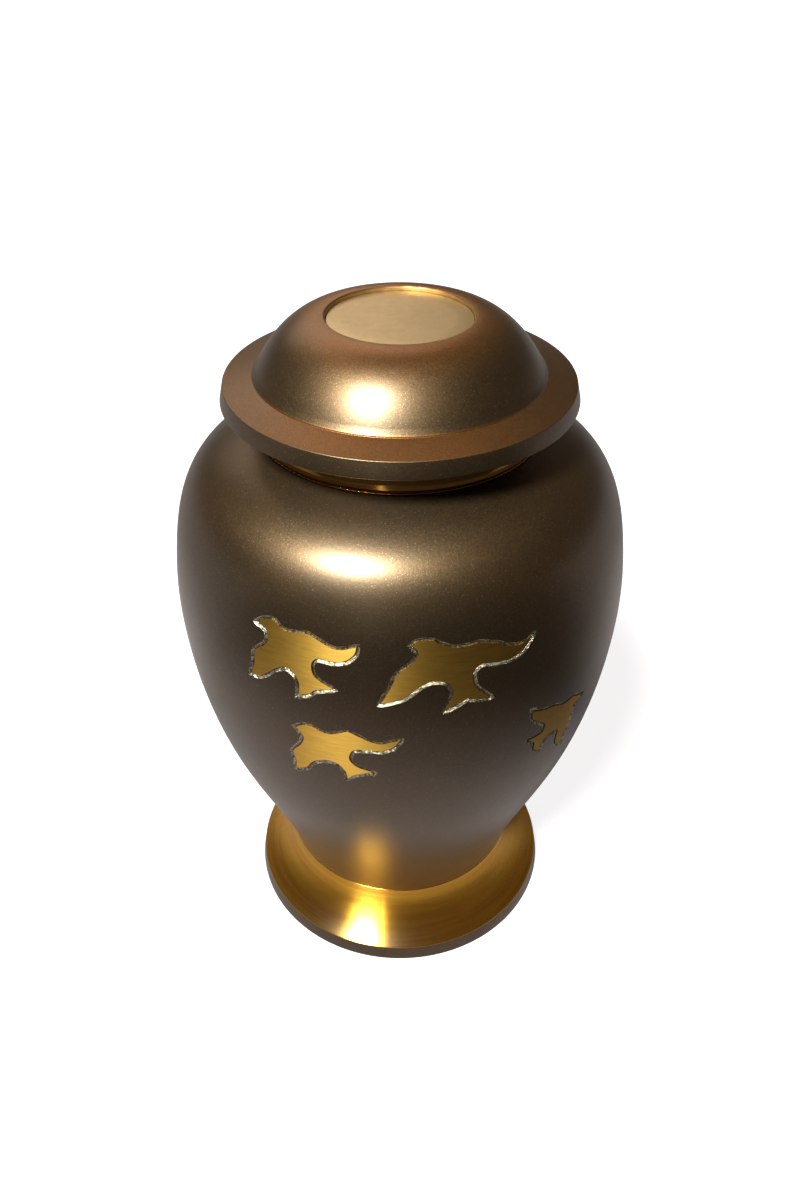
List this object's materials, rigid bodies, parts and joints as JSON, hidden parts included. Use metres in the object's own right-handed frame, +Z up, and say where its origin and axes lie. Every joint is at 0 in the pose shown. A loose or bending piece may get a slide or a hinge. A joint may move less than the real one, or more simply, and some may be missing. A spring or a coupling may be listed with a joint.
{
  "type": "cremation urn",
  "caption": "Round lidded urn on a flared foot: a hollow brass body with a satin bronze-brown coat and carved flying birds, a brass neck ring, and a domed lid that lifts off.",
  "frame": {"origin": "centre of the ring that the foot stands on, on the surface under it", "axes": "+Z up along the axis of the turned body; the front, with most of the carved birds, faces -Y, and +X is to its right"},
  "size_m": [0.1698, 0.1698, 0.265],
  "materials": {
    "bronze_coat": "satin metallic bronze-brown lacquer over brass",
    "brushed_brass": "circumferentially brushed",
    "polished_brass": "polished",
    "satin_brass": "pale, straight-brushed satin"
  },
  "bodies": {
    "root": {"foot": "brushed_brass", "vessel": "bronze_coat", "neck_ring": "polished_brass", "lid": "bronze_coat", "lid_disc": "satin_brass"}
  },
  "joints": []
}
